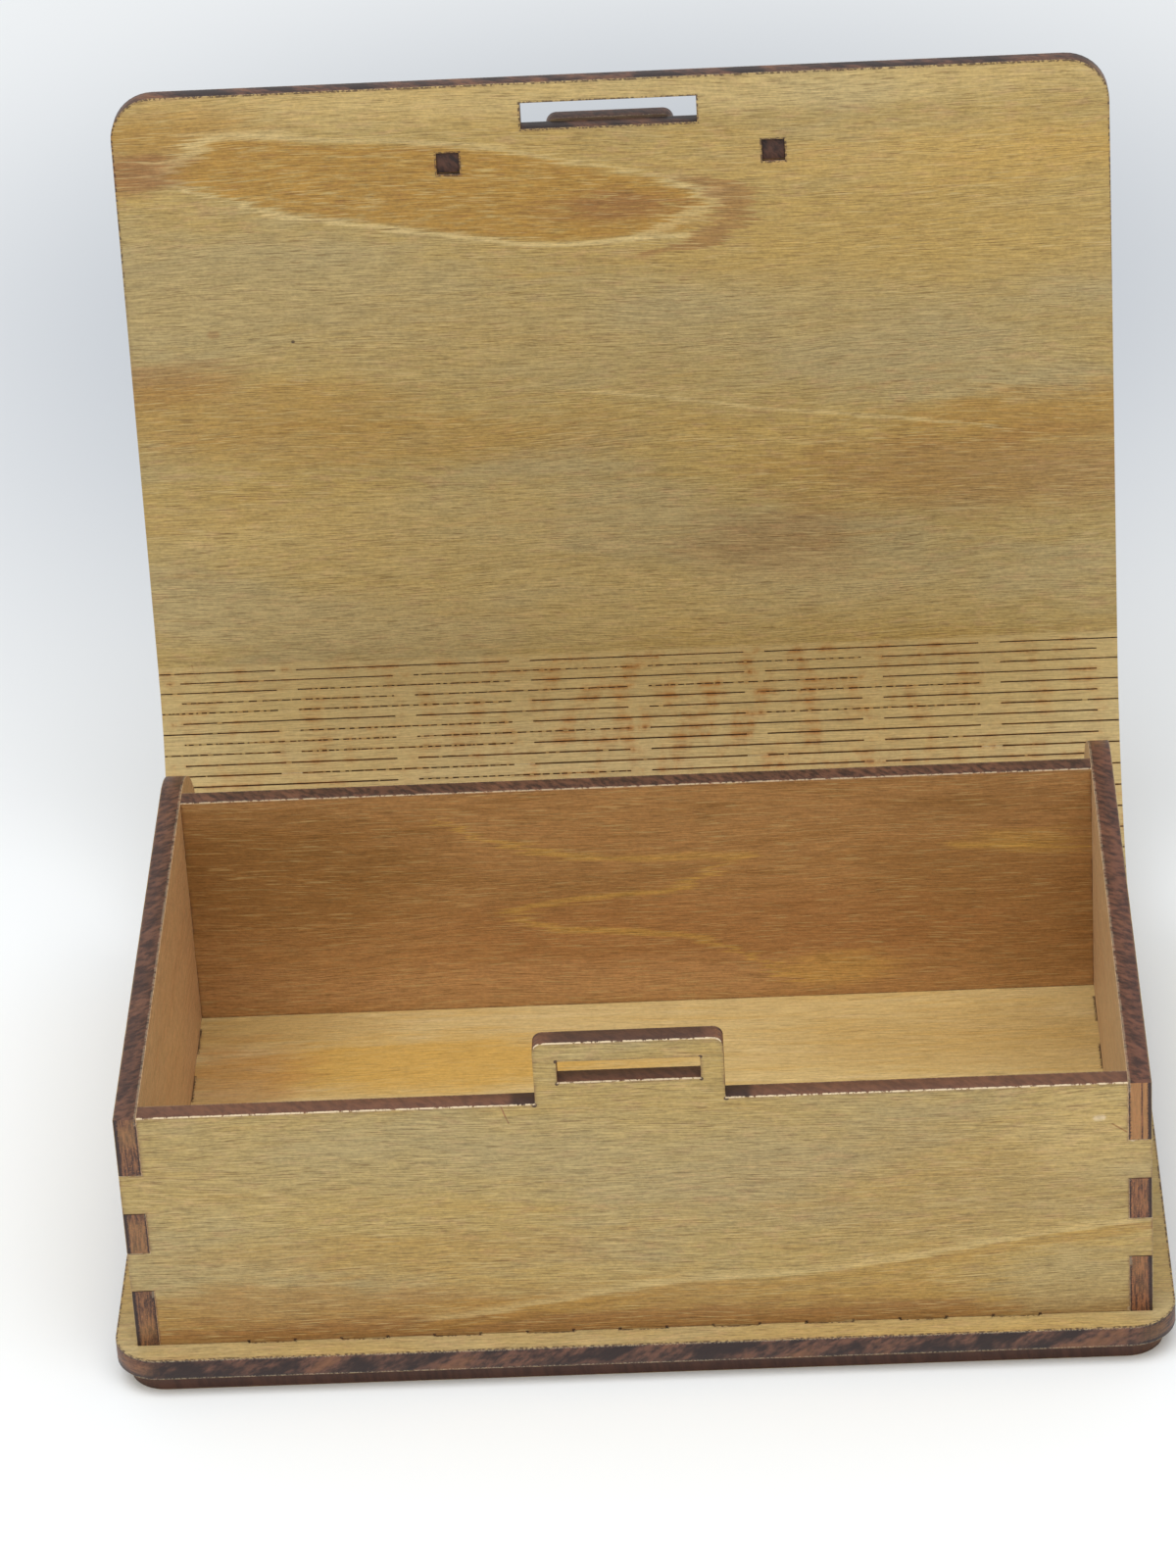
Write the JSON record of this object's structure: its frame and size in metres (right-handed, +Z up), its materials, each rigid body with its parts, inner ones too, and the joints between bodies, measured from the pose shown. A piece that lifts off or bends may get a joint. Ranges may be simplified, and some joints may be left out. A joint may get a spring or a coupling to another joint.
{
  "type": "book box",
  "caption": "Finger-jointed plywood box with a wrap-round cover on a living hinge, a tab on the front wall and a sliding bolt latch on the lid.",
  "frame": {"origin": "middle of the bottom plate's underside, on the surface that the box stands on", "axes": "+X to the right seen from the front, +Y from the latch tab towards the hinge, +Z up"},
  "size_m": [0.137, 0.1385, 0.1259],
  "materials": {
    "wall_plywood": "satin varnish, burnt cut edges",
    "plate_plywood": "satin varnish, burnt cut edges",
    "cover_plywood": "satin varnish, burnt cut edges",
    "hinge_plywood": "satin varnish, burnt slits",
    "latch_plywood": "satin varnish, burnt cut edges"
  },
  "bodies": {
    "box": {"bottom_plate": "plate_plywood", "base_cover": "cover_plywood", "front_wall": "wall_plywood", "back_wall": "wall_plywood", "left_wall": "wall_plywood", "right_wall": "wall_plywood"},
    "strip_01": {"hinge_strip_01": "hinge_plywood"},
    "strip_02": {"hinge_strip_02": "hinge_plywood"},
    "strip_03": {"hinge_strip_03": "hinge_plywood"},
    "strip_04": {"hinge_strip_04": "hinge_plywood"},
    "strip_05": {"hinge_strip_05": "hinge_plywood"},
    "strip_06": {"hinge_strip_06": "hinge_plywood"},
    "strip_07": {"hinge_strip_07": "hinge_plywood"},
    "strip_08": {"hinge_strip_08": "hinge_plywood"},
    "strip_09": {"hinge_strip_09": "hinge_plywood"},
    "strip_10": {"hinge_strip_10": "hinge_plywood"},
    "strip_11": {"hinge_strip_11": "hinge_plywood"},
    "strip_12": {"hinge_strip_12": "hinge_plywood"},
    "strip_13": {"hinge_strip_13": "hinge_plywood"},
    "strip_14": {"hinge_strip_14": "hinge_plywood"},
    "strip_15": {"hinge_strip_15": "hinge_plywood"},
    "strip_16": {"hinge_strip_16": "hinge_plywood"},
    "strip_17": {"hinge_strip_17": "hinge_plywood"},
    "lid": {"lid": "cover_plywood", "latch_guide": "latch_plywood", "latch_cover": "latch_plywood", "latch_pegs": "latch_plywood"},
    "latch": {"latch_bolt": "latch_plywood", "grip_stem": "latch_plywood", "thumb_pad": "latch_plywood"}
  },
  "joints": [
    {"name": "hinge_line_01", "type": "hinge", "parent": "box", "child": "strip_01", "pos_m": [0, 0.04329, 0.006], "axis": [1, 0, 0], "range_deg": [-4.75, 5]},
    {"name": "hinge_line_02", "type": "hinge", "parent": "strip_01", "child": "strip_02", "pos_m": [0, 0.04636, 0.00627], "axis": [1, 0, 0], "range_deg": [-4.75, 5]},
    {"name": "hinge_line_03", "type": "hinge", "parent": "strip_02", "child": "strip_03", "pos_m": [0, 0.04939, 0.0068], "axis": [1, 0, 0], "range_deg": [-4.75, 5]},
    {"name": "hinge_line_04", "type": "hinge", "parent": "strip_03", "child": "strip_04", "pos_m": [0, 0.05237, 0.0076], "axis": [1, 0, 0], "range_deg": [-4.75, 5]},
    {"name": "hinge_line_05", "type": "hinge", "parent": "strip_04", "child": "strip_05", "pos_m": [0, 0.05526, 0.00865], "axis": [1, 0, 0], "range_deg": [-4.75, 5]},
    {"name": "hinge_line_06", "type": "hinge", "parent": "strip_05", "child": "strip_06", "pos_m": [0, 0.05805, 0.00996], "axis": [1, 0, 0], "range_deg": [-4.75, 5]},
    {"name": "hinge_line_07", "type": "hinge", "parent": "strip_06", "child": "strip_07", "pos_m": [0, 0.06072, 0.01149], "axis": [1, 0, 0], "range_deg": [-4.75, 5]},
    {"name": "hinge_line_08", "type": "hinge", "parent": "strip_07", "child": "strip_08", "pos_m": [0, 0.06324, 0.01326], "axis": [1, 0, 0], "range_deg": [-4.75, 5]},
    {"name": "hinge_line_09", "type": "hinge", "parent": "strip_08", "child": "strip_09", "pos_m": [0, 0.0656, 0.01524], "axis": [1, 0, 0], "range_deg": [-4.75, 5]},
    {"name": "hinge_line_10", "type": "hinge", "parent": "strip_09", "child": "strip_10", "pos_m": [0, 0.06778, 0.01742], "axis": [1, 0, 0], "range_deg": [-4.75, 5]},
    {"name": "hinge_line_11", "type": "hinge", "parent": "strip_10", "child": "strip_11", "pos_m": [0, 0.06976, 0.01978], "axis": [1, 0, 0], "range_deg": [-4.75, 5]},
    {"name": "hinge_line_12", "type": "hinge", "parent": "strip_11", "child": "strip_12", "pos_m": [0, 0.07152, 0.0223], "axis": [1, 0, 0], "range_deg": [-4.75, 5]},
    {"name": "hinge_line_13", "type": "hinge", "parent": "strip_12", "child": "strip_13", "pos_m": [0, 0.07306, 0.02497], "axis": [1, 0, 0], "range_deg": [-4.75, 5]},
    {"name": "hinge_line_14", "type": "hinge", "parent": "strip_13", "child": "strip_14", "pos_m": [0, 0.07436, 0.02776], "axis": [1, 0, 0], "range_deg": [-4.75, 5]},
    {"name": "hinge_line_15", "type": "hinge", "parent": "strip_14", "child": "strip_15", "pos_m": [0, 0.07542, 0.03065], "axis": [1, 0, 0], "range_deg": [-4.75, 5]},
    {"name": "hinge_line_16", "type": "hinge", "parent": "strip_15", "child": "strip_16", "pos_m": [0, 0.07621, 0.03363], "axis": [1, 0, 0], "range_deg": [-4.75, 5]},
    {"name": "hinge_line_17", "type": "hinge", "parent": "strip_16", "child": "strip_17", "pos_m": [0, 0.07675, 0.03666], "axis": [1, 0, 0], "range_deg": [-4.75, 5]},
    {"name": "lid_fold", "type": "hinge", "parent": "strip_17", "child": "lid", "pos_m": [0, 0.07702, 0.03973], "axis": [1, 0, 0], "range_deg": [0, 10]},
    {"name": "latch_slide", "type": "slide", "parent": "lid", "child": "latch", "axis": [0, 0.0872, 0.9962], "range_m": [-0.001, 0.004]}
  ]
}
